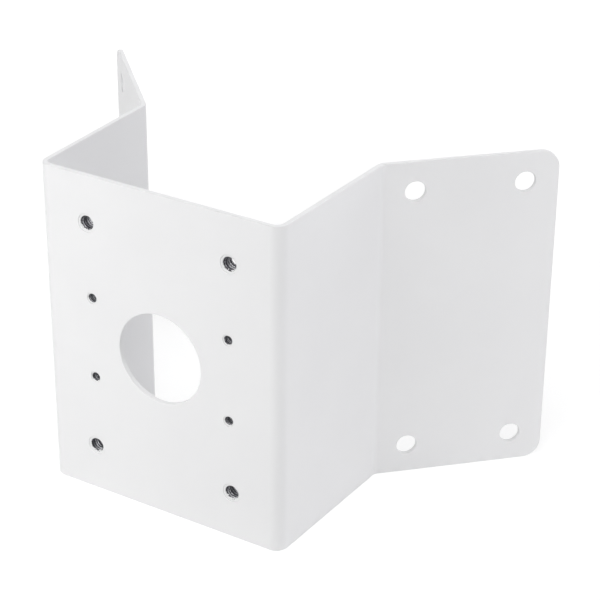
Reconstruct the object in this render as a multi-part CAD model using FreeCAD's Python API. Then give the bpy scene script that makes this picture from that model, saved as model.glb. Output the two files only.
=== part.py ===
"""Corner mount adapter for a camera: a folded, powder-coated steel bracket that sits astride an outside
wall corner and carries a camera, an arm or a junction box on its flat front plate.

Frame, in millimetres: the origin is the centre of the cable hole on the front face. +X runs along the
front plate, +Y runs back towards the wall corner and +Z is up. The bracket is symmetric about X = 0.
"""
import FreeCAD, Part
import math
import os

from FreeCAD import Vector

# Folded sheet
sheet_thickness = 2.75
inner_bend_radius = 4.0
bracket_height = 183.0
front_width = 145.0          # over the outer faces, at the two front corners
side_length = 91.5           # front corner to wing corner, on the outer face
side_splay = 1.5             # degrees that each side plate opens out from square
wing_length = 94.0           # wing corner to free edge, on the outer face
wing_angle = 45.0            # degrees between each wing and the plane of symmetry: a square wall corner
wing_corner_radius = 10.0
edge_round = 0.4             # deburred and coated edges
largest_round_share = 0.45   # of the sheet's thickness, where a thin sheet limits the edge round

# Cable hole in the front plate
cable_hole_diameter = 50.0

# Screw holes that fix each wing to its wall
wall_hole_diameter = 11.0
wall_hole_spacing_up = 150.0
wall_hole_spacing_along = 58.5
wall_hole_edge_distance = 18.0

# Large press nuts, M8, for a camera arm
large_spacing_across = 86.0
large_spacing_up = 130.0
large_thread_diameter = 8.0
large_thread_bore = 6.65
large_shank_diameter = 10.4
large_body_diameter = 12.7
large_body_height = 5.47

# Small press nuts, M5, for a housing or a junction box
small_spacing_across = 83.3
small_spacing_up = 46.0
small_thread_diameter = 5.0
small_thread_bore = 4.15
small_shank_diameter = 6.2
small_body_diameter = 8.65
small_body_height = 3.2

# Both kinds of press nut
nut_recess = 0.3             # front face of the sheet to the end of the nut's shank
thread_lead_in = 0.2         # how far the lead-in chamfer opens past the thread's outer diameter
nut_rim_chamfer = 0.4

front_to_back = Vector(0, 1, 0)
half_height = bracket_height / 2
rounding = min(edge_round, largest_round_share * sheet_thickness)
tolerance = 1e-6             # below this, two lengths are the same


def turned(direction, degrees):
    """Give a plan direction turned counter-clockwise as seen from above."""
    angle = math.radians(degrees)
    x = direction.x * math.cos(angle) - direction.y * math.sin(angle)
    y = direction.x * math.sin(angle) + direction.y * math.cos(angle)
    return Vector(x, y, 0)


def left_of(direction):
    """Give the plan direction a quarter turn to the left."""
    return Vector(-direction.y, direction.x, 0)


# Corners of the outer face in plan, right half: front corner, wing corner, free edge
side_direction = turned(front_to_back, -side_splay)
wing_direction = turned(front_to_back, -wing_angle)
front_corner = Vector(front_width / 2, 0, 0)
wing_corner = front_corner + side_direction * side_length
wing_end = wing_corner + wing_direction * wing_length


def mirrored(point):
    """Give a point's partner on the other half of the bracket."""
    return Vector(-point.x, point.y, point.z)


def rounded_path(corners, depth):
    """Give the plan edges of the sheet's surface that lies at a depth below its outer face.

    The corners are those of the outer face, in order, with the sheet's back on the left. Both faces of a
    bend share one centre, so the radius at this depth follows from the inner bend radius.
    """
    headings = [(b - a).normalize() for a, b in zip(corners, corners[1:])]
    points = [corners[0] + left_of(headings[0]) * depth]
    edges = []
    for corner, before, after in zip(corners[1:-1], headings, headings[1:]):
        bisector = left_of(before) + left_of(after)
        sharp = corner + bisector * (2 * depth / bisector.dot(bisector))
        turn = math.asin(before.cross(after).z)
        if turn > 0:
            radius = inner_bend_radius + sheet_thickness - depth
        else:
            radius = inner_bend_radius + depth
        setback = radius * math.tan(abs(turn) / 2)
        start = sharp - before * setback
        end = sharp + after * setback
        inward = bisector.normalize() * math.copysign(1, turn)
        middle = sharp + inward * (radius / math.cos(turn / 2) - radius)
        edges.append(Part.LineSegment(points[-1], start).toShape())
        edges.append(Part.Arc(start, middle, end).toShape())
        points.append(end)
    last = corners[-1] + left_of(headings[-1]) * depth
    edges.append(Part.LineSegment(points[-1], last).toShape())
    return edges


def folded_sheet():
    """Make the sheet with its four bends and square wing corners."""
    right = [front_corner, wing_corner, wing_end]
    corners = [mirrored(point) for point in reversed(right)] + right
    outer = rounded_path(corners, 0)
    inner = rounded_path(corners, sheet_thickness)
    left_edge = Part.LineSegment(outer[0].Vertexes[0].Point, inner[0].Vertexes[0].Point).toShape()
    right_edge = Part.LineSegment(outer[-1].Vertexes[1].Point, inner[-1].Vertexes[1].Point).toShape()
    outline = Part.Wire(Part.__sortEdges__(outer + inner + [left_edge, right_edge]))
    outline.translate(Vector(0, 0, -half_height))
    return Part.Face(outline).extrude(Vector(0, 0, bracket_height))


def is_vertical(edge):
    """Tell whether an edge runs straight up."""
    low, high = edge.BoundBox.ZMin, edge.BoundBox.ZMax
    return math.isclose(high - low, edge.Length, abs_tol=tolerance)


def is_on_wing_end(edge):
    """Tell whether an edge lies in the plane of a wing's free edge."""
    centre = edge.CenterOfMass
    reach = Vector(abs(centre.x), centre.y, 0) - wing_end
    return abs(reach.dot(wing_direction)) < tolerance


def round_wing_corners(sheet):
    """Round the two outer corners of each wing."""
    corners = [edge for edge in sheet.Edges if is_on_wing_end(edge) and not is_vertical(edge)]
    return sheet.makeFillet(wing_corner_radius, corners)


def soften_outline(sheet):
    """Round over the sheet's outline on both faces, leaving out the lines where the bends begin."""
    outline = []
    for edge in sheet.Edges:
        through_sheet = math.isclose(edge.Length, sheet_thickness, abs_tol=tolerance)
        bend_line = is_vertical(edge) and not is_on_wing_end(edge)
        if not through_sheet and not bend_line:
            outline.append(edge)
    return sheet.makeFillet(rounding, outline)


def drill(centre, direction, diameter):
    """Make the cutter for a hole through the sheet, centred on a point of its outer face.

    It runs past both faces by a thickness of the sheet.
    """
    margin = sheet_thickness
    length = margin + sheet_thickness + margin
    return Part.makeCylinder(diameter / 2, length, centre - direction * margin, direction)


def soft_hole(sheet, centre, direction, diameter):
    """Cut a hole and round over its rim on both faces."""
    sheet = sheet.cut(drill(centre, direction, diameter))
    rims = []
    for edge in sheet.Edges:
        is_circle = isinstance(edge.Curve, Part.Circle)
        if not is_circle or not math.isclose(edge.Curve.Radius, diameter / 2, abs_tol=tolerance):
            continue
        off_axis = (edge.Curve.Center - centre).cross(direction).Length
        if off_axis < tolerance:
            rims.append(edge)
    return sheet.makeFillet(rounding, rims)


def rectangle(across, up):
    """Give the four corners of an upright pattern on the front face, from the lower left."""
    signs = [(-1, -1), (1, -1), (-1, 1), (1, 1)]
    return [Vector(i * across / 2, 0, k * up / 2) for i, k in signs]


def wall_holes():
    """Give each wall screw hole's centre on the outer face, with the direction through the sheet."""
    holes = []
    outer_column = wing_length - wall_hole_edge_distance
    for along in (outer_column - wall_hole_spacing_along, outer_column):
        for height in (-wall_hole_spacing_up / 2, wall_hole_spacing_up / 2):
            centre = wing_corner + wing_direction * along + Vector(0, 0, height)
            through = left_of(wing_direction)
            holes.append((centre, through))
            holes.append((mirrored(centre), mirrored(through)))
    return holes


def bracket():
    """Make the finished sheet, with every hole."""
    sheet = soften_outline(round_wing_corners(folded_sheet()))
    sheet = soft_hole(sheet, Vector(0, 0, 0), front_to_back, cable_hole_diameter)
    for centre, through in wall_holes():
        sheet = soft_hole(sheet, centre, through, wall_hole_diameter)
    for centre in rectangle(large_spacing_across, large_spacing_up):
        sheet = sheet.cut(drill(centre, front_to_back, large_shank_diameter))
    for centre in rectangle(small_spacing_across, small_spacing_up):
        sheet = sheet.cut(drill(centre, front_to_back, small_shank_diameter))
    return sheet


def press_nut(thread_diameter, bore, shank, body, body_height):
    """Make one press nut on the Y axis, seated in the sheet from behind.

    Its shank fills the hole in the sheet to within the recess, and its body stands on the sheet's back.
    The thread is left plain, at the size of its crests, with a lead-in at each end.
    """
    mouth = thread_diameter / 2 + thread_lead_in
    lead_in = mouth - bore / 2
    front = nut_recess
    back = sheet_thickness + body_height
    profile = [
        (bore / 2, front + lead_in),
        (mouth, front),
        (shank / 2, front),
        (shank / 2, sheet_thickness),
        (body / 2, sheet_thickness),
        (body / 2, back - nut_rim_chamfer),
        (body / 2 - nut_rim_chamfer, back),
        (mouth, back),
        (bore / 2, back - lead_in),
    ]
    points = [Vector(radius, depth, 0) for radius, depth in profile]
    outline = Part.makePolygon(points + points[:1])
    return Part.Face(outline).revolve(Vector(0, 0, 0), front_to_back, 360)


def placed(shape, centres):
    """Make one group of separate copies of a shape, one at each centre."""
    copies = []
    for centre in centres:
        copy = shape.copy()
        copy.translate(centre)
        copies.append(copy)
    return Part.makeCompound(copies)


def large_press_nuts():
    """Make the four M8 press nuts."""
    nut = press_nut(large_thread_diameter, large_thread_bore, large_shank_diameter,
                    large_body_diameter, large_body_height)
    return placed(nut, rectangle(large_spacing_across, large_spacing_up))


def small_press_nuts():
    """Make the four M5 press nuts."""
    nut = press_nut(small_thread_diameter, small_thread_bore, small_shank_diameter,
                    small_body_diameter, small_body_height)
    return placed(nut, rectangle(small_spacing_across, small_spacing_up))


nodes = {
    "folded_bracket": bracket(),
    "large_press_nuts": large_press_nuts(),
    "small_press_nuts": small_press_nuts(),
}

os.makedirs("parts", exist_ok=True)
for name, shape in nodes.items():
    shape.exportStep(f"parts/{name}.step")
    box = shape.optimalBoundingBox(False)
    print(f"{name}: {len(shape.Solids)} solids, {shape.Volume:.1f} mm3, valid {shape.isValid()}, "
          f"{box.XLength:.2f} x {box.YLength:.2f} x {box.ZLength:.2f} mm")
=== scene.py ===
"""Corner mount adapter: the looks of a folded, powder-coated bracket and its eight press nuts.

Everything is in metres in the part's own frame: the origin is the centre of the cable hole on the
front face, +X runs along the front plate, +Y runs back towards the wall corner and +Z is up.
"""

import logging
import math
from dataclasses import dataclass
from enum import Enum

import bmesh
import bpy
from mathutils import Matrix, Quaternion, Vector


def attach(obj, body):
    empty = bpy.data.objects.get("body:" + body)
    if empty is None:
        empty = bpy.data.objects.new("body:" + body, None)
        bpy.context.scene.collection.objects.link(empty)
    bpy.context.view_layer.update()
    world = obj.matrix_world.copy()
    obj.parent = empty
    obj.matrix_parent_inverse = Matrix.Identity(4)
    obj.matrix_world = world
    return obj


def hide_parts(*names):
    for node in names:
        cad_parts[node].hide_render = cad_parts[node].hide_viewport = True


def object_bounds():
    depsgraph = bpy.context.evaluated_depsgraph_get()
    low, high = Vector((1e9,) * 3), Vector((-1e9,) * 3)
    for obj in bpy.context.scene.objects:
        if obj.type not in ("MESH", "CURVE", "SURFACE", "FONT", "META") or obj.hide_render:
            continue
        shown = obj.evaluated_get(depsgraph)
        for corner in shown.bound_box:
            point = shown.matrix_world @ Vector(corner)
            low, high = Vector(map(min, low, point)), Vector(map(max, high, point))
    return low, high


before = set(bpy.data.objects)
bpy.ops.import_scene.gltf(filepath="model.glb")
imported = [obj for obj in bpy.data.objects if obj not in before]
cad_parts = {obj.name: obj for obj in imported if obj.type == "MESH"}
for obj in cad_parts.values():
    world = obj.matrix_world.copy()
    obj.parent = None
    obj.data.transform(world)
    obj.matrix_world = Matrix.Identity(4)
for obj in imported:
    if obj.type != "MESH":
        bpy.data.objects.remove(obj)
cad_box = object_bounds()

MM = 0.001
SAME_PLACE = 1e-7                 # below this, two points are one
SAME_LENGTH = 1e-6                # below this, two lengths are the same
HARD_EDGE = math.radians(60)      # faces that meet more sharply than this get a round
CRISP_EDGE = math.radians(40)     # faces that meet more sharply than this aren't shaded as one
Y_AXIS = Vector((0, 1, 0))
Z_AXIS = Vector((0, 0, 1))
WHITE = (1.0, 1.0, 1.0, 1.0)
EVEN = (1.0, 1.0, 1.0)            # a noise that isn't stretched
GROOVE = "groove"                 # a nut's attribute: 0 on the thread's crests, 1 in its grooves
FROM_END = "from_end"             # a nut's attribute: the distance to its nearer end
LOW_WALL = "low_wall"             # a nut's attribute: 0 at the top of its bore, 1 along the bottom
PAINTED_HOLE_SHADE = "painted_hole_shade"           # the sheet's attribute: painted shade, 1 at the bottoms of the wall-screw holes

log = logging.getLogger("corner_mount")


class Skin(Enum):
    """What covers a face of a press nut: the number of its material."""

    COAT = 0
    BARE = 1


class Socket(Enum):
    """The kinds of input and output that a node group can have."""

    NUMBER = "NodeSocketFloat"
    DIRECTION = "NodeSocketVector"


class Wiring:
    """A node tree that is being wired."""

    def __init__(self, tree: bpy.types.NodeTree) -> None:
        """Start on a tree, with its old nodes taken out.

        Args:
            tree: The node tree of a material, a world or a group.
        """
        self.tree = tree
        tree.nodes.clear()

    def add(self, kind: str, settings: dict[str, object] | None = None,
            **inputs: object) -> bpy.types.Node:
        """Add a node.

        Args:
            kind: The node's type name.
            settings: Values for the node's own properties.
            inputs: A value or another node's output for each input, named with _ for a space.

        Returns:
            The new node.
        """
        node = self.tree.nodes.new(kind)
        for name, value in (settings or {}).items():
            setattr(node, name, value)
        for name, value in inputs.items():
            self.feed(node, name.replace("_", " "), value)
        return node

    def feed(self, node: bpy.types.Node, name: str | int, value: object) -> None:
        """Give an input a value, or link another node's output to it.

        Args:
            node: The node that has the input.
            name: The input's name or place.
            value: A plain value, or an output socket.
        """
        if isinstance(value, bpy.types.NodeSocket):
            self.tree.links.new(value, node.inputs[name])
        else:
            node.inputs[name].default_value = value

    def number(self, operation: str, *values: object) -> bpy.types.NodeSocket:
        """Work out a number from others.

        Args:
            operation: The name of the arithmetic.
            values: One to three plain values or output sockets.

        Returns:
            The result's socket.
        """
        node = self.tree.nodes.new("ShaderNodeMath")
        node.operation = operation
        for place, value in enumerate(values):
            self.feed(node, place, value)
        return node.outputs[0]

    def ramp(self, value: object, low: object, high: object, first: float,
             last: float) -> bpy.types.NodeSocket:
        """Turn a value smoothly from one span into another, and stay inside it.

        Args:
            value: The value's socket.
            low: Where its span starts.
            high: Where its span ends.
            first: What low becomes.
            last: What high becomes.

        Returns:
            The result's socket.
        """
        node = self.add("ShaderNodeMapRange", {"interpolation_type": "SMOOTHSTEP"}, Value=value)
        edges = (("From Min", low), ("From Max", high), ("To Min", first), ("To Max", last))
        for name, edge in edges:
            self.feed(node, name, edge)
        return node.outputs["Result"]

    def blend(self, mask: object, first: object, second: object) -> bpy.types.NodeSocket:
        """Mix two colours.

        Args:
            mask: 0 where the first shows and 1 where the second does.
            first: A colour or its socket.
            second: A colour or its socket.

        Returns:
            The mixed colour's socket.
        """
        node = self.add("ShaderNodeMix", {"data_type": "RGBA"})
        # The node has sockets of one name for each kind of data, so its colours go by number.
        for place, value in ((0, mask), (6, first), (7, second)):
            self.feed(node, place, value)
        return node.outputs[2]

    def position(self) -> bpy.types.NodeSocket:
        """Read where on the piece a point lies, in the piece's own coordinates."""
        return self.add("ShaderNodeTexCoord").outputs["Object"]

    def attribute(self, name: str) -> bpy.types.NodeSocket:
        """Read an attribute of the piece."""
        return self.add("ShaderNodeAttribute", {"attribute_name": name}).outputs["Fac"]

    def effect(self, group: bpy.types.NodeTree, **inputs: object) -> bpy.types.NodeSocket:
        """Place a surface effect with its own values, and give what it puts out."""
        return self.add("ShaderNodeGroup", {"node_tree": group}, **inputs).outputs[0]


class Effects:
    """The surface effects that more than one finish uses, each one a node group with one output."""

    noise_span = (0.32, 0.68)         # where nearly all of a noise's values lie
    ripple_detail = 2.0               # how many finer waves a ripple carries
    band_span = (-0.5, 0.8)           # the part of the wave in which a band rises
    faintest_fleck = 0.4              # how bright a band stays where it is most broken up
    groove_span = (0.3, 1.0)          # where bands fade into painted shade, from a crest to a groove
    left_in_groove = 0.35
    lit_span = (0.2, 0.9)             # where the bands' painted light grows, from the top of a bore to the bottom
    left_on_top = 0.25
    painted_light_span = (0.45, 1.0)           # where the white reaches deeper as painted light, from half way down a bore
    painted_light_on_top = 0.1

    def __init__(self) -> None:
        """Build the groups."""
        self.patches = self._patches()
        self.ripple = self._ripple()
        self.burnish_and_glint_bands = self._burnish_and_glint_bands()
        self.mouth_dust_and_painted_light = self._mouth_dust_and_painted_light()

    @staticmethod
    def _group(name: str, inputs: dict[str, Socket], outputs: dict[str, Socket]
               ) -> tuple[bpy.types.NodeTree, Wiring, bpy.types.NodeOutputs]:
        """Start a node group.

        Args:
            name: The group's name.
            inputs: The kind of each input, by its name.
            outputs: The kind of each output, by its name.

        Returns:
            The group, the wiring in it, and the sockets that bring its inputs in.
        """
        group = bpy.data.node_groups.new(name, "ShaderNodeTree")
        for way, sockets in (("INPUT", inputs), ("OUTPUT", outputs)):
            for label, kind in sockets.items():
                group.interface.new_socket(name=label, in_out=way, socket_type=kind.value)
        wire = Wiring(group)
        return group, wire, wire.add("NodeGroupInput").outputs

    @staticmethod
    def _noise(wire: Wiring, given: bpy.types.NodeOutputs, detail: object) -> bpy.types.NodeSocket:
        """Make a noise on the piece's own coordinates.

        Args:
            wire: The wiring of the group.
            given: The group's inputs: Size is that of the waves, and Stretch how dense they are
                along each axis.
            detail: How many finer waves it carries.

        Returns:
            The noise's value, about 0.5 on the whole.
        """
        stretched = wire.add("ShaderNodeVectorMath", {"operation": "MULTIPLY"})
        wire.feed(stretched, 0, wire.position())
        wire.feed(stretched, 1, given["Stretch"])
        noise = wire.add("ShaderNodeTexNoise", Vector=stretched.outputs[0], Detail=detail,
                         Scale=wire.number("DIVIDE", 1.0, given["Size"]))
        return noise.outputs["Fac"]

    def _patches(self) -> bpy.types.NodeTree:
        """Make soft, cloudy patches of a real size.

        Returns:
            The group, which puts out a mask from 0 to 1.
        """
        group, wire, given = self._group(
            "soft_patches",
            {"Size": Socket.NUMBER, "Detail": Socket.NUMBER, "Stretch": Socket.DIRECTION},
            {"Mask": Socket.NUMBER})
        noise = self._noise(wire, given, given["Detail"])
        wire.add("NodeGroupOutput", Mask=wire.ramp(noise, *self.noise_span, 0.0, 1.0))
        return group

    def _ripple(self) -> bpy.types.NodeTree:
        """Make a fine unevenness of the surface, with waves of a real size and depth.

        Returns:
            The group, which puts out a normal.
        """
        group, wire, given = self._group(
            "fine_ripple",
            {"Size": Socket.NUMBER, "Depth": Socket.NUMBER, "Stretch": Socket.DIRECTION},
            {"Normal": Socket.DIRECTION})
        bump = wire.add("ShaderNodeBump", Strength=1.0, Distance=given["Depth"],
                        Height=self._noise(wire, given, self.ripple_detail))
        wire.add("NodeGroupOutput", Normal=bump.outputs["Normal"])
        return group

    def _burnish_and_glint_bands(self) -> bpy.types.NodeTree:
        """Make the bright bands round a bore: partly steel that a chattering tap burnished, partly
        a painted glint.

        They fade in the grooves as painted shade, and towards the top of the bore, so that they are
        painted light along its bottom, where light falls. Flecks break them up and make them
        wander.

        Returns:
            The group, which puts out a mask that is 1 on the bands.
        """
        group, wire, given = self._group(
            "burnish_and_glint_bands",
            {"Spacing": Socket.NUMBER, "Wander": Socket.NUMBER, "Fleck": Socket.NUMBER},
            {"Shine": Socket.NUMBER})
        along = wire.add("ShaderNodeSeparateXYZ", Vector=wire.position()).outputs["Y"]
        turn = wire.number("DIVIDE", wire.number("MULTIPLY", along, math.tau), given["Spacing"])
        turn = wire.number("MULTIPLY_ADD", given["Fleck"], given["Wander"], turn)
        shine = wire.ramp(wire.number("SINE", turn), *self.band_span, 0.0, 1.0)
        # fades: flecks, painted shade in the grooves, and painted light growing towards the bore's
        # bottom
        for fade in (wire.ramp(given["Fleck"], 0.0, 1.0, self.faintest_fleck, 1.0),
                     wire.ramp(wire.attribute(GROOVE), *self.groove_span, 1.0, self.left_in_groove),
                     wire.ramp(wire.attribute(LOW_WALL), *self.lit_span, self.left_on_top, 1.0)):
            shine = wire.number("MULTIPLY", shine, fade)
        wire.add("NodeGroupOutput", Shine=shine)
        return group

    def _mouth_dust_and_painted_light(self) -> bpy.types.NodeTree:
        """Make the dusting of white powder at both mouths of a bore.

        It is whole up to the Full depth from the nearer end and gone at the Thin depth. In flecks
        low in the bore it reaches deeper, by up to Reach: painted light where light falls on the
        bottom of the bore.

        Returns:
            The group, which puts out a mask that is 1 on the bare steel.
        """
        group, wire, given = self._group(
            "mouth_dust_and_painted_light",
            {"Full": Socket.NUMBER, "Thin": Socket.NUMBER, "Reach": Socket.NUMBER,
             "Fleck": Socket.NUMBER},
            {"Bare": Socket.NUMBER})
        # painted light: the white reaches deeper in flecks along the bottom of the bore
        painted_low_light = wire.ramp(wire.attribute(LOW_WALL), *self.painted_light_span, self.painted_light_on_top, 1.0)
        flecked = wire.number("MULTIPLY", given["Fleck"], painted_low_light)
        deeper = wire.number("MULTIPLY", flecked, given["Reach"])
        depth = wire.number("SUBTRACT", wire.attribute(FROM_END), deeper)
        wire.add("NodeGroupOutput", Bare=wire.ramp(depth, given["Full"], given["Thin"], 0.0, 1.0))
        return group


def new_material(name: str) -> tuple[bpy.types.Material, Wiring]:
    """Start a material.

    Args:
        name: Its name.

    Returns:
        The material, and the wiring in it.
    """
    made = bpy.data.materials.new(name)
    made.use_nodes = True
    return made, Wiring(made.node_tree)


@dataclass(frozen=True)
class PowderCoat:
    """Satin white powder coat: paint with a very fine orange peel and a faintly uneven tone.

    The bottoms of the wall-screw holes are greyed with a painted shade.
    """

    colour: tuple[float, float, float] = (0.868, 0.868, 0.873)
    uneven_colour: tuple[float, float, float] = (0.857, 0.857, 0.863)
    painted_shade_colour: tuple[float, float, float] = (0.7, 0.7, 0.705)
    patch_size: float = 45 * MM           # of the uneven tone
    patch_detail: float = 2.0
    roughness: tuple[float, float] = (0.46, 0.54)
    smear_size: float = 14 * MM           # of the uneven roughness
    smear_detail: float = 4.0
    peel_size: float = 1.3 * MM
    peel_depth: float = 0.006 * MM

    def material(self, effects: Effects) -> bpy.types.Material:
        """Make the finish.

        Args:
            effects: The node groups that the finishes share.

        Returns:
            The material.
        """
        made, wire = new_material("white_powder_coat")
        cloud = wire.effect(effects.patches, Size=self.patch_size, Detail=self.patch_detail,
                            Stretch=EVEN)
        smear = wire.effect(effects.patches, Size=self.smear_size, Detail=self.smear_detail,
                            Stretch=EVEN)
        peel = wire.effect(effects.ripple, Size=self.peel_size, Depth=self.peel_depth,
                           Stretch=EVEN)
        colour = wire.blend(cloud, (*self.uneven_colour, 1.0), (*self.colour, 1.0))
        # painted shade: greyer along the bottoms of the wall-screw holes
        colour = wire.blend(wire.attribute(PAINTED_HOLE_SHADE), colour, (*self.painted_shade_colour, 1.0))
        paint = wire.add("ShaderNodeBsdfPrincipled", Base_Color=colour, Normal=peel,
                         Roughness=wire.ramp(smear, 0.0, 1.0, *self.roughness))
        wire.add("ShaderNodeOutputMaterial", Surface=paint.outputs["BSDF"])
        return made


@dataclass(frozen=True)
class BareThread:
    """Tapped steel that the coat hasn't covered: painted shade in its grooves, dusted white at its
    mouths.

    Bright bands run round the bore, partly steel burnished where the tap chattered and partly a
    painted glint, broken up by flecks. Both the bands and the dust are stronger along the bottom of
    the bore: painted light where light falls there.
    """

    name: str = "bare_large_thread"
    # groove is a painted shade: the grooves are coloured darker than the crests
    groove: tuple[float, float, float] = (0.017, 0.017, 0.02)
    crest: tuple[float, float, float] = (0.078, 0.078, 0.088)
    burnish_and_glint: tuple[float, float, float] = (0.68, 0.68, 0.71)
    dust_and_painted_light: tuple[float, float, float] = (0.84, 0.84, 0.845)
    band_spacing: float = 1.65 * MM
    band_wander: float = 0.8              # radians
    fleck_size: float = 0.75 * MM
    fleck_detail: float = 2.0
    roughness: tuple[float, float] = (0.5, 0.35)                      # between the bands, on them
    chatter_size: float = 0.35 * MM
    chatter_depth: float = 0.015 * MM
    chatter_stretch: tuple[float, float, float] = (0.3, 1.0, 0.3)     # its marks run round the bore
    dust_depth: tuple[float, float] = (0.08 * MM, 0.35 * MM)          # where it thins out
    painted_light_reach: float = 1.0 * MM          # how much deeper the white lies in flecks low down: painted light

    def material(self, effects: Effects) -> bpy.types.Material:
        """Make the finish.

        Args:
            effects: The node groups that the finishes share.

        Returns:
            The material.
        """
        made, wire = new_material(self.name)
        fleck = wire.effect(effects.patches, Size=self.fleck_size, Detail=self.fleck_detail,
                            Stretch=EVEN)
        chatter = wire.effect(effects.ripple, Size=self.chatter_size, Depth=self.chatter_depth,
                              Stretch=self.chatter_stretch)
        shine = wire.effect(effects.burnish_and_glint_bands, Spacing=self.band_spacing, Wander=self.band_wander,
                            Fleck=fleck)
        bare = wire.effect(effects.mouth_dust_and_painted_light, Full=self.dust_depth[0], Thin=self.dust_depth[1],
                           Reach=self.painted_light_reach, Fleck=fleck)
        # painted shade: darker from the crests into the grooves
        steel = wire.blend(wire.attribute(GROOVE), (*self.crest, 1.0), (*self.groove, 1.0))
        # painted glint on the bands, partly burnished steel; painted light along the bottom of the
        # bore
        steel = wire.blend(shine, steel, (*self.burnish_and_glint, 1.0))
        # the white at the mouths is dust; deeper along the bottom it is painted light
        colour = wire.blend(bare, (*self.dust_and_painted_light, 1.0), steel)
        roughness = wire.ramp(shine, 0.0, 1.0, *self.roughness)
        metal = wire.add("ShaderNodeBsdfPrincipled", Base_Color=colour, Metallic=bare,
                         Roughness=roughness, Normal=chatter)
        wire.add("ShaderNodeOutputMaterial", Surface=metal.outputs["BSDF"])
        return made


@dataclass(frozen=True)
class PaleFloor:
    """A plain white studio sheet that shows as white and still takes the object's shadow.

    It throws light back as a pale sheet does. What is seen of it is darker, with a white of its
    own added that no shadow dims: part of it near the object, so that a faint shadow stays, and
    all of it far away.
    """

    colour: tuple[float, float, float] = (0.86, 0.86, 0.86)
    seen_colour: tuple[float, float, float] = (0.4, 0.4, 0.4)
    own_white: tuple[float, float] = (0.69, 1.0)
    fades_over: tuple[float, float] = (0.35, 1.1)         # from the object's middle, in metres

    def material(self) -> bpy.types.Material:
        """Make the finish.

        Returns:
            The material, pale for the light it throws back and white where it is seen.
        """
        made, wire = new_material("studio_sheet")
        seen = seen_directly(wire)
        colour = wire.blend(seen, (*self.colour, 1.0), (*self.seen_colour, 1.0))
        lit = wire.add("ShaderNodeBsdfDiffuse", Color=colour)
        away = wire.add("ShaderNodeVectorMath", {"operation": "LENGTH"})
        wire.feed(away, 0, wire.position())
        own = wire.ramp(away.outputs["Value"], *self.fades_over, *self.own_white)
        strength = wire.number("MULTIPLY", seen, own)
        glow = wire.add("ShaderNodeEmission", Color=WHITE, Strength=strength)
        both = wire.add("ShaderNodeAddShader")
        wire.feed(both, 0, lit.outputs[0])
        wire.feed(both, 1, glow.outputs[0])
        wire.add("ShaderNodeOutputMaterial", Surface=both.outputs[0])
        return made


def seen_directly(wire: Wiring) -> bpy.types.NodeSocket:
    """Tell the rays that show a background: from the camera, mirrored or seen through glass.

    Args:
        wire: The wiring that the answer is for.

    Returns:
        A socket that is 1 on those rays and 0 on the others.
    """
    rays = wire.add("ShaderNodeLightPath").outputs
    shiny = wire.number("MAXIMUM", rays["Is Glossy Ray"], rays["Is Transmission Ray"])
    return wire.number("MAXIMUM", rays["Is Camera Ray"], shiny)


def extrude_edge(mesh: bmesh.types.BMesh, edge: bmesh.types.BMEdge,
                 move: Vector) -> bmesh.types.BMEdge:
    """Draw an edge out into a face.

    Args:
        mesh: The mesh that holds the edge.
        edge: The edge to draw out.
        move: How far and which way.

    Returns:
        The edge at the far side of the new face.
    """
    made = bmesh.ops.extrude_edge_only(mesh, edges=[edge])["geom"]
    ends = [item for item in made if isinstance(item, bmesh.types.BMVert)]
    bmesh.ops.translate(mesh, verts=ends, vec=move)
    return mesh.edges.get(ends)


def spin_edge(mesh: bmesh.types.BMesh, edge: bmesh.types.BMEdge, centre: Vector, angle: float,
              steps: int) -> bmesh.types.BMEdge:
    """Turn an edge about an upright axis and leave faces behind it.

    Args:
        mesh: The mesh that holds the edge.
        edge: The edge to turn.
        centre: A point on the axis.
        angle: How far it turns, counter-clockwise from above.
        steps: How many faces it leaves.

    Returns:
        The edge at the far side of the last face.
    """
    made = bmesh.ops.spin(mesh, geom=[edge, *edge.verts], cent=centre, axis=Z_AXIS, angle=angle,
                          steps=steps)
    ends = [item for item in made["geom_last"] if isinstance(item, bmesh.types.BMVert)]
    return mesh.edges.get(ends)


def hard_edges(mesh: bmesh.types.BMesh) -> list[bmesh.types.BMEdge]:
    """Give the edges where two faces meet sharply."""
    return [edge for edge in mesh.edges
            if len(edge.link_faces) == 2 and edge.calc_face_angle() > HARD_EDGE]


def round_edges(mesh: bmesh.types.BMesh, edges: list[bmesh.types.BMEdge], radius: float,
                segments: int) -> None:
    """Round over edges.

    Args:
        mesh: The mesh that holds the edges.
        edges: The edges to round.
        radius: The round's size.
        segments: How many faces cross the round.
    """
    bmesh.ops.bevel(mesh, geom=edges, offset=radius, offset_type="OFFSET", segments=segments,
                    profile=0.5, affect="EDGES", material=-1, loop_slide=False)


def how_low(away: Vector, off_axis: float) -> float:
    """Tell how low a point lies round a hole: 0 at the hole's top and 1 at its bottom."""
    return 0.5 - 0.5 * away.z / off_axis


def as_object(mesh: bmesh.types.BMesh, name: str) -> bpy.types.Object:
    """Turn a finished bmesh into an object in the scene, at the origin.

    Args:
        mesh: The bmesh, which is used up.
        name: The object's name.

    Returns:
        The object, with smooth faces.
    """
    data = bpy.data.meshes.new(name)
    mesh.to_mesh(data)
    mesh.free()
    data.shade_smooth()
    data.set_sharp_from_angle(angle=CRISP_EDGE)
    made = bpy.data.objects.new(name, data)
    bpy.context.scene.collection.objects.link(made)
    return made


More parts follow.
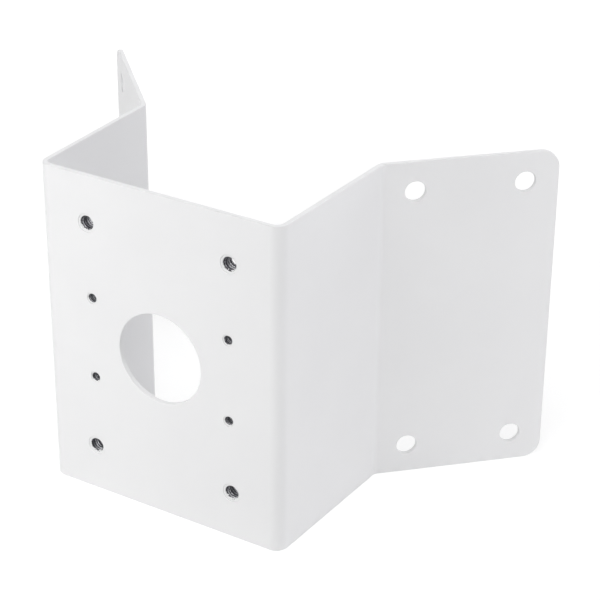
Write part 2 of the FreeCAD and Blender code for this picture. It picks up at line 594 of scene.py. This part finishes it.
def cut_away(piece: bpy.types.Object, cutter: bpy.types.Object) -> bmesh.types.BMesh:
    """Cut one piece with another and take both out of the scene.

    Args:
        piece: The piece that is cut.
        cutter: The closed shape that is taken away.

    Returns:
        What is left of the piece.
    """
    cut = piece.modifiers.new("cut", "BOOLEAN")
    cut.operation = "DIFFERENCE"
    cut.solver = "EXACT"
    cut.object = cutter
    graph = bpy.context.evaluated_depsgraph_get()
    result = bpy.data.meshes.new_from_object(piece.evaluated_get(graph))
    mesh = bmesh.new()
    mesh.from_mesh(result)
    bmesh.ops.remove_doubles(mesh, verts=mesh.verts, dist=SAME_PLACE)
    for used in (piece.data, cutter.data, result):
        bpy.data.meshes.remove(used)      # an object goes with its mesh
    return mesh


def dress(piece: bpy.types.Object, materials: list[bpy.types.Material], slot: str,
          *nodes: str) -> None:
    """Give a piece its finish and its place in the frame.

    Args:
        piece: The finished piece.
        materials: Its materials, in the order of their numbers.
        slot: The record's material slot; not used.
        nodes: The CAD nodes that it stands for.
    """
    for material in materials:
        piece.data.materials.append(material)
    evened = piece.modifiers.new("even_normals", "WEIGHTED_NORMAL")
    evened.mode = "FACE_AREA"
    evened.keep_sharp = True
    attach(piece, "root")
    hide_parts(*nodes)
    triangles = sum(len(face.vertices) - 2 for face in piece.data.polygons)
    log.info("%s: %d triangles, stands for %s", piece.name, triangles, ", ".join(nodes))


@dataclass
class PressNut:
    """One size of self-clinching nut, pressed into the sheet from behind, in four copies.

    Depths run along +Y from the sheet's front face.
    """

    name: str
    node: str
    thread_diameter: float
    pitch: float
    bore: float
    shank_diameter: float
    body_diameter: float
    body_height: float
    spacing_across: float
    spacing_up: float
    sheet: float = 2.75 * MM
    recess: float = 0.3 * MM
    lead_in: float = 0.2 * MM
    joint: float = 0.25 * MM              # the chamfer that leaves a fine groove round the shank
    rim_chamfer: float = 0.4 * MM
    flank: float = math.radians(30)       # of the thread, from square to its axis
    half_crest: float = 1 / 16            # of the tap's ridge at its top, in pitches
    half_foot: float = 3 / 8              # of the tap's ridge at the bore, in pitches
    tap_clearance: float = 0.05 * MM      # between the tap's core and the bore
    spare_turns: int = 2                  # that the tap reaches past each end of the nut
    round_steps: int = 72
    starts: tuple[float, float, float, float] = (0.4, 2.1, 3.9, 5.2)  # of the threads, in radians

    @property
    def centres(self) -> list[Vector]:
        """The four nuts' axes on the front face, from the lower left."""
        signs = [(-1, -1), (1, -1), (-1, 1), (1, 1)]
        return [Vector((i * self.spacing_across / 2, 0, k * self.spacing_up / 2)) for i, k in signs]

    def blank(self) -> bmesh.types.BMesh:
        """Turn the nut with a plain bore, on the Y axis.

        Returns:
            A closed mesh.
        """
        mouth = self.thread_diameter / 2 + self.lead_in
        lead_in = mouth - self.bore / 2
        back = self.sheet + self.body_height
        profile = [
            (self.bore / 2, self.recess + lead_in),
            (mouth, self.recess),
            (self.shank_diameter / 2 - self.joint, self.recess),
            (self.shank_diameter / 2, self.recess + self.joint),
            (self.shank_diameter / 2, self.sheet),
            (self.body_diameter / 2, self.sheet),
            (self.body_diameter / 2, back - self.rim_chamfer),
            (self.body_diameter / 2 - self.rim_chamfer, back),
            (mouth, back),
            (self.bore / 2, back - lead_in),
        ]
        mesh = bmesh.new()
        corners = [mesh.verts.new((radius, depth, 0)) for radius, depth in profile]
        edges = [mesh.edges.new(pair) for pair in zip(corners, corners[1:] + corners[:1])]
        bmesh.ops.spin(mesh, geom=corners + edges, cent=(0, 0, 0), axis=Y_AXIS, angle=math.tau,
                       steps=self.round_steps, use_merge=True)
        bmesh.ops.recalc_face_normals(mesh, faces=mesh.faces)
        return mesh

    def tap(self) -> bmesh.types.BMesh:
        """Make the tap that cuts the thread: a rod with one helical ridge.

        It is spun longer than it has to be, and its ends are cut off square.

        Returns:
            A closed mesh on the Y axis, longer than the nut at both ends.
        """
        core = self.bore / 2 - self.tap_clearance
        crest = self.thread_diameter / 2
        foot = self.pitch * self.half_foot + self.tap_clearance * math.tan(self.flank)
        half_crest = self.pitch * self.half_crest
        spare = self.pitch * self.spare_turns
        first = self.recess - 2 * spare
        last = self.sheet + self.body_height + 2 * spare
        mesh = bmesh.new()
        profile = [
            (crest, -half_crest),
            (crest, half_crest),
            (core, foot),
            (core, self.pitch - foot),
            (crest, self.pitch - half_crest),
        ]
        corners = [mesh.verts.new((radius, first + along, 0)) for radius, along in profile]
        edges = [mesh.edges.new(pair) for pair in zip(corners, corners[1:])]
        turns = math.ceil((last - first) / self.pitch)
        bmesh.ops.spin(mesh, geom=corners + edges, cent=(0, 0, 0), axis=Y_AXIS,
                       angle=math.tau * turns, dvec=Y_AXIS * (self.pitch / self.round_steps),
                       steps=self.round_steps * turns)
        bmesh.ops.remove_doubles(mesh, verts=mesh.verts, dist=SAME_PLACE)
        for end, outward in ((first + spare, -Y_AXIS), (last - spare, Y_AXIS)):
            everything = mesh.verts[:] + mesh.edges[:] + mesh.faces[:]
            bmesh.ops.bisect_plane(mesh, geom=everything, plane_co=Y_AXIS * end,
                                   plane_no=outward, clear_outer=True)
        bmesh.ops.holes_fill(mesh, edges=[edge for edge in mesh.edges if edge.is_boundary])
        bmesh.ops.recalc_face_normals(mesh, faces=mesh.faces)
        return mesh

    def threaded(self) -> bmesh.types.BMesh:
        """Cut the thread, and mark its grooves and the faces that the coat doesn't reach.

        Returns:
            One nut on the Y axis.
        """
        mesh = cut_away(as_object(self.blank(), "nut_blank"), as_object(self.tap(), "tap"))
        groove = mesh.verts.layers.float.new(GROOVE)
        from_end = mesh.verts.layers.float.new(FROM_END)
        mesh.verts.layers.float.new(LOW_WALL)
        thread_depth = (self.thread_diameter - self.bore) / 2
        back = self.sheet + self.body_height
        for vert in mesh.verts:
            past_crest = math.hypot(vert.co.x, vert.co.z) - self.bore / 2
            vert[groove] = min(max(past_crest / thread_depth, 0.0), 1.0)
            vert[from_end] = min(vert.co.y - self.recess, back - vert.co.y)
        for face in mesh.faces:
            place = face.calc_center_median()
            in_bore = math.hypot(place.x, place.z) < self.thread_diameter / 2 + SAME_PLACE
            face.material_index = (Skin.BARE if in_bore else Skin.COAT).value
        return mesh

    def build(self, coat: bpy.types.Material, bare: bpy.types.Material) -> bpy.types.Object:
        """Build the four nuts as one piece.

        Args:
            coat: The finish outside.
            bare: The finish of the thread.

        Returns:
            The piece.
        """
        nut = self.threaded()
        single = bpy.data.meshes.new("nut")
        nut.to_mesh(single)
        nut.free()
        group = bmesh.new()
        for centre, start in zip(self.centres, self.starts):
            already = len(group.verts)
            group.from_mesh(single)
            group.verts.ensure_lookup_table()
            place = Matrix.Translation(centre) @ Matrix.Rotation(start, 4, Y_AXIS)
            bmesh.ops.transform(group, matrix=place, verts=group.verts[already:])
            low = group.verts.layers.float[LOW_WALL]
            for vert in group.verts[already:]:
                away = vert.co - centre
                vert[low] = how_low(away, math.hypot(away.x, away.z))
        bpy.data.meshes.remove(single)
        piece = as_object(group, self.name)
        dress(piece, [coat, bare], "nut_steel", self.node)
        return piece


@dataclass
class FoldedSheet:
    """The bracket's one folded sheet, with every hole in it.

    Lengths are over the outer faces, from corner to corner.
    """

    nuts: tuple[PressNut, ...]
    thickness: float = 2.75 * MM
    inner_bend_radius: float = 4.0 * MM
    height: float = 183.0 * MM
    front_width: float = 145.0 * MM
    side_length: float = 91.5 * MM
    side_splay: float = math.radians(1.5)
    wing_length: float = 94.0 * MM
    wing_angle: float = math.radians(45.0)
    wing_corner_radius: float = 10.0 * MM
    edge_round: float = 0.4 * MM
    pressed_hole_round: float = 0.2 * MM
    cable_hole_diameter: float = 50.0 * MM
    wall_hole_diameter: float = 11.0 * MM
    wall_hole_spacing_up: float = 150.0 * MM
    wall_hole_spacing_along: float = 58.5 * MM
    wall_hole_edge_distance: float = 18.0 * MM
    front_bend_steps: int = 24
    wing_bend_steps: int = 12
    corner_steps: int = 20
    edge_steps: int = 3
    hole_steps: int = 64
    cable_hole_steps: int = 160

    def __post_init__(self) -> None:
        """Work out the plan of the right half from the driving sizes."""
        self.side_direction = Vector((math.sin(self.side_splay), math.cos(self.side_splay), 0))
        self.wing_direction = Vector((math.sin(self.wing_angle), math.cos(self.wing_angle), 0))
        self.front_turn = math.pi / 2 - self.side_splay
        self.wing_turn = self.wing_angle - self.side_splay
        self.front_corner = Vector((self.front_width / 2, 0, 0))
        self.wing_corner = self.front_corner + self.side_direction * self.side_length
        self.wing_end = self.wing_corner + self.wing_direction * self.wing_length

    def section(self) -> bmesh.types.BMesh:
        """Lay out the sheet's plan section at its lower edge.

        The right half is drawn out of the cut across the middle of the front plate, bend by bend,
        and then mirrored. Both faces of a bend turn about one centre.

        Returns:
            A flat mesh of four-sided faces.
        """
        outer_radius = self.inner_bend_radius + self.thickness
        front_setback = outer_radius * math.tan(self.front_turn / 2)
        wing_setback = self.inner_bend_radius * math.tan(self.wing_turn / 2)
        base = -self.height / 2
        front_flat = self.front_width / 2 - front_setback
        side_flat = self.side_length - front_setback - wing_setback
        wing_flat = self.wing_length - wing_setback
        front_centre = Vector((front_flat, outer_radius, base))
        outward = Vector((self.side_direction.y, -self.side_direction.x, 0))
        wing_bend_starts = self.wing_corner - self.side_direction * wing_setback
        wing_centre = wing_bend_starts + outward * self.inner_bend_radius
        mesh = bmesh.new()
        ends = [mesh.verts.new((0, depth, base)) for depth in (0, self.thickness)]
        edge = mesh.edges.new(ends)
        edge = extrude_edge(mesh, edge, Vector((front_flat, 0, 0)))
        edge = spin_edge(mesh, edge, front_centre, self.front_turn, self.front_bend_steps)
        edge = extrude_edge(mesh, edge, self.side_direction * side_flat)
        edge = spin_edge(mesh, edge, wing_centre, -self.wing_turn, self.wing_bend_steps)
        extrude_edge(mesh, edge, self.wing_direction * wing_flat)
        everything = mesh.verts[:] + mesh.edges[:] + mesh.faces[:]
        bmesh.ops.mirror(mesh, geom=everything, matrix=Matrix.Identity(4), merge_dist=SAME_PLACE,
                         axis="X")
        return mesh

    def on_wing_end(self, vert: bmesh.types.BMVert) -> bool:
        """Tell whether a point lies in the plane of a wing's free edge."""
        reach = Vector((abs(vert.co.x), vert.co.y, 0)) - self.wing_end
        return abs(reach.dot(self.wing_direction)) < SAME_LENGTH

    def sheet(self) -> bmesh.types.BMesh:
        """Raise the section to the bracket's height and round its outline.

        Returns:
            A closed mesh with no holes yet.
        """
        mesh = self.section()
        raised = bmesh.ops.extrude_face_region(mesh, geom=mesh.faces[:])["geom"]
        tops = [item for item in raised if isinstance(item, bmesh.types.BMVert)]
        bmesh.ops.translate(mesh, verts=tops, vec=Z_AXIS * self.height)
        bmesh.ops.recalc_face_normals(mesh, faces=mesh.faces)
        corners = [edge for edge in mesh.edges
                   if all(self.on_wing_end(vert) for vert in edge.verts)
                   and edge.calc_length() < self.thickness + SAME_LENGTH]
        round_edges(mesh, corners, self.wing_corner_radius, self.corner_steps)
        round_edges(mesh, hard_edges(mesh), self.edge_round, self.edge_steps)
        return mesh

    def drill(self, cutter: bmesh.types.BMesh, centre: Vector, through: Vector, diameter: float,
              steps: int) -> None:
        """Add one hole to a cutter. It runs past both faces by a thickness of the sheet.

        Args:
            cutter: The mesh of all holes that are cut together.
            centre: The hole's centre on the sheet's outer face.
            through: The direction through the sheet.
            diameter: The hole's diameter.
            steps: How many faces go round the hole.
        """
        turn = Z_AXIS.rotation_difference(through).to_matrix().to_4x4()
        place = Matrix.Translation(centre + through * (self.thickness / 2)) @ turn
        bmesh.ops.create_cone(cutter, cap_ends=True, segments=steps, radius1=diameter / 2,
                              radius2=diameter / 2, depth=3 * self.thickness, matrix=place)

    @property
    def wall_holes(self) -> list[tuple[Vector, Vector]]:
        """Where the wall-screw holes go.

        Returns:
            Each hole's centre on the outer face, with the direction through the sheet.
        """
        holes = []
        outer_column = self.wing_length - self.wall_hole_edge_distance
        inward = Vector((-self.wing_direction.y, self.wing_direction.x, 0))
        for along in (outer_column - self.wall_hole_spacing_along, outer_column):
            for up in (-self.wall_hole_spacing_up / 2, self.wall_hole_spacing_up / 2):
                right = self.wing_corner + self.wing_direction * along + Z_AXIS * up
                for side in (1, -1):
                    centre = Vector((side * right.x, right.y, right.z))
                    holes.append((centre, Vector((side * inward.x, inward.y, 0))))
        return holes

    def plain_holes(self) -> bmesh.types.BMesh:
        """Make the cutter of the cable hole and the eight wall-screw holes.

        Returns:
            A mesh of closed rods.
        """
        cutter = bmesh.new()
        self.drill(cutter, Vector(), Y_AXIS, self.cable_hole_diameter, self.cable_hole_steps)
        for centre, through in self.wall_holes:
            self.drill(cutter, centre, through, self.wall_hole_diameter, self.hole_steps)
        return cutter

    def pressed_holes(self) -> bmesh.types.BMesh:
        """Make the cutter of the holes that the nuts are pressed into.

        Returns:
            A mesh of closed rods.
        """
        cutter = bmesh.new()
        for nut in self.nuts:
            for centre in nut.centres:
                self.drill(cutter, centre, Y_AXIS, nut.shank_diameter, nut.round_steps)
        return cutter

    def mark_painted_hole_shade(self, mesh: bmesh.types.BMesh) -> None:
        """Mark painted shade at the wall-screw holes' bottoms, fading out up their walls and over
        their rims.

        Args:
            mesh: The finished sheet.
        """
        shade_layer = mesh.verts.layers.float.new(PAINTED_HOLE_SHADE)
        for centre, through in self.wall_holes:
            for vert in mesh.verts:
                away = vert.co - centre
                off_axis = away.cross(through).length
                past_wall = max(off_axis - self.wall_hole_diameter / 2, 0.0)
                # the painted shade is strongest at the bottom of each hole
                if past_wall < self.edge_round:
                    low = how_low(away, off_axis)
                    vert[shade_layer] = low * low * (1 - past_wall / self.edge_round)

    def build(self, coat: bpy.types.Material) -> bpy.types.Object:
        """Build the sheet.

        Args:
            coat: Its finish.

        Returns:
            The piece.
        """
        mesh = self.sheet()
        for cutter, radius in ((self.plain_holes(), self.edge_round),
                               (self.pressed_holes(), self.pressed_hole_round)):
            mesh = cut_away(as_object(mesh, "sheet"), as_object(cutter, "drills"))
            round_edges(mesh, hard_edges(mesh), radius, self.edge_steps)
        self.mark_painted_hole_shade(mesh)
        piece = as_object(mesh, "folded_sheet")
        dress(piece, [coat], "powder_coat", "folded_bracket")
        return piece


@dataclass(frozen=True)
class Lamp:
    """One round, soft lamp that points at the object."""

    name: str
    azimuth: float                        # degrees from straight in front, towards +X
    elevation: float                      # degrees above the horizon
    power: float                          # watts
    colour: tuple[float, float, float]
    size: float = 2.4                     # across, in metres
    distance: float = 3.2

    def hang(self, aim: Vector) -> None:
        """Put the lamp in the scene.

        Args:
            aim: The point that it faces.
        """
        away = direction(self.azimuth, self.elevation)
        data = bpy.data.lights.new(self.name, "AREA")
        data.shape = "DISK"
        data.size = self.size
        data.energy = self.power
        data.color = self.colour
        lamp = bpy.data.objects.new(self.name, data)
        lamp.location = aim + away * self.distance
        lamp.rotation_mode = "QUATERNION"
        lamp.rotation_quaternion = (-away).to_track_quat("-Z", "Y")
        bpy.context.scene.collection.objects.link(lamp)


def direction(azimuth: float, elevation: float) -> Vector:
    """Give the direction from the object towards a place round it.

    Args:
        azimuth: Degrees from straight in front, towards +X.
        elevation: Degrees above the horizon.

    Returns:
        A direction of length 1.
    """
    turn, rise = math.radians(azimuth), math.radians(elevation)
    level = math.cos(rise)
    return Vector((math.sin(turn) * level, -math.cos(turn) * level, math.sin(rise)))


@dataclass
class Studio:
    """The pale floor, the soft light and the camera."""

    lamps: tuple[Lamp, ...]
    ambient: float = 0.20
    ambient_colour: tuple[float, float, float] = (0.995, 0.995, 1.005)
    floor_size: float = 6.0
    aim: Vector = Vector((24.40, 94.62, -0.48)) * MM
    distance: float = 1063.65 * MM
    azimuth: float = 31.915               # degrees, as the two below
    elevation: float = 27.369
    roll: float = 0.417
    lens: float = 119.151                 # focal length in millimetres
    sees_to: float = 20.0                 # metres, past the floor's far corners

    def build_floor(self) -> None:
        """Lay the floor under the object's lower edge."""
        mesh = bmesh.new()
        bmesh.ops.create_grid(mesh, x_segments=1, y_segments=1, size=self.floor_size / 2)
        bmesh.ops.translate(mesh, verts=mesh.verts, vec=Z_AXIS * cad_box[0].z)
        floor = as_object(mesh, "floor")
        floor.data.materials.append(PaleFloor().material())

    def build_world(self) -> None:
        """Surround the object with even white light, and show plain white behind it."""
        world = bpy.data.worlds.new("studio")
        bpy.context.scene.world = world
        world.use_nodes = True
        wire = Wiring(world.node_tree)
        seen = seen_directly(wire)
        colour = wire.blend(seen, (*self.ambient_colour, 1.0), WHITE)
        strength = wire.ramp(seen, 0.0, 1.0, self.ambient, 1.0)
        light = wire.add("ShaderNodeBackground", Color=colour, Strength=strength)
        wire.add("ShaderNodeOutputWorld", Surface=light.outputs[0])

    def build_camera(self) -> None:
        """Set the camera at the photograph's viewing angle."""
        away = direction(self.azimuth, self.elevation)
        camera = bpy.data.objects.new("camera", bpy.data.cameras.new("camera"))
        camera.data.lens = self.lens
        camera.data.clip_end = self.sees_to
        camera.location = self.aim + away * self.distance
        camera.rotation_mode = "QUATERNION"
        level = (-away).to_track_quat("-Z", "Y")
        camera.rotation_quaternion = level @ Quaternion(Z_AXIS, math.radians(self.roll))
        bpy.context.scene.collection.objects.link(camera)
        bpy.context.scene.camera = camera

    def build(self) -> None:
        """Build the whole studio."""
        self.build_floor()
        self.build_world()
        self.build_camera()
        for lamp in self.lamps:
            lamp.hang(self.aim)
        bpy.context.scene.view_settings.view_transform = "Standard"


LARGE_NUT = PressNut(
    name="large_threaded_nuts", node="large_press_nuts", thread_diameter=8.0 * MM,
    pitch=1.25 * MM, bore=6.65 * MM, shank_diameter=10.4 * MM, body_diameter=12.7 * MM,
    body_height=5.47 * MM, spacing_across=86.0 * MM, spacing_up=130.0 * MM)
SMALL_NUT = PressNut(
    name="small_threaded_nuts", node="small_press_nuts", thread_diameter=5.0 * MM,
    pitch=0.8 * MM, bore=4.15 * MM, shank_diameter=6.2 * MM, body_diameter=8.65 * MM,
    body_height=3.2 * MM, spacing_across=83.3 * MM, spacing_up=46.0 * MM)
LARGE_THREAD = BareThread()
SMALL_THREAD = BareThread(
    name="bare_small_thread", burnish_and_glint=(0.42, 0.42, 0.44), band_spacing=1.1 * MM,
    fleck_size=0.6 * MM, painted_light_reach=0.35 * MM)
WARM = (1.0, 1.0, 0.995)          # the lamps in front
COOL = (0.987, 0.987, 1.015)      # the lamps beside the object and behind it
LAMPS = (
    Lamp("high_front", azimuth=0, elevation=55, power=40.2, colour=WARM),
    Lamp("high_right", azimuth=45, elevation=60, power=21.5, colour=WARM),
    Lamp("near_left", azimuth=-30, elevation=0, power=0.75, colour=WARM, size=0.4, distance=0.55),
    Lamp("near_right", azimuth=100, elevation=8, power=0.36, colour=COOL, size=0.4, distance=0.55),
    Lamp("right", azimuth=115, elevation=8, power=15.6, colour=COOL),
    Lamp("back", azimuth=155, elevation=15, power=27.5, colour=COOL),
    Lamp("left_back", azimuth=-140, elevation=35, power=19.6, colour=COOL),
)


def main() -> None:
    """Build the pieces and the studio."""
    effects = Effects()
    coat = PowderCoat().material(effects)
    FoldedSheet((LARGE_NUT, SMALL_NUT)).build(coat)
    LARGE_NUT.build(coat, LARGE_THREAD.material(effects))
    SMALL_NUT.build(coat, SMALL_THREAD.material(effects))
    Studio(LAMPS).build()


if __name__ == "__main__":
    logging.basicConfig(level=logging.INFO, format="%(name)s: %(message)s")
    main()
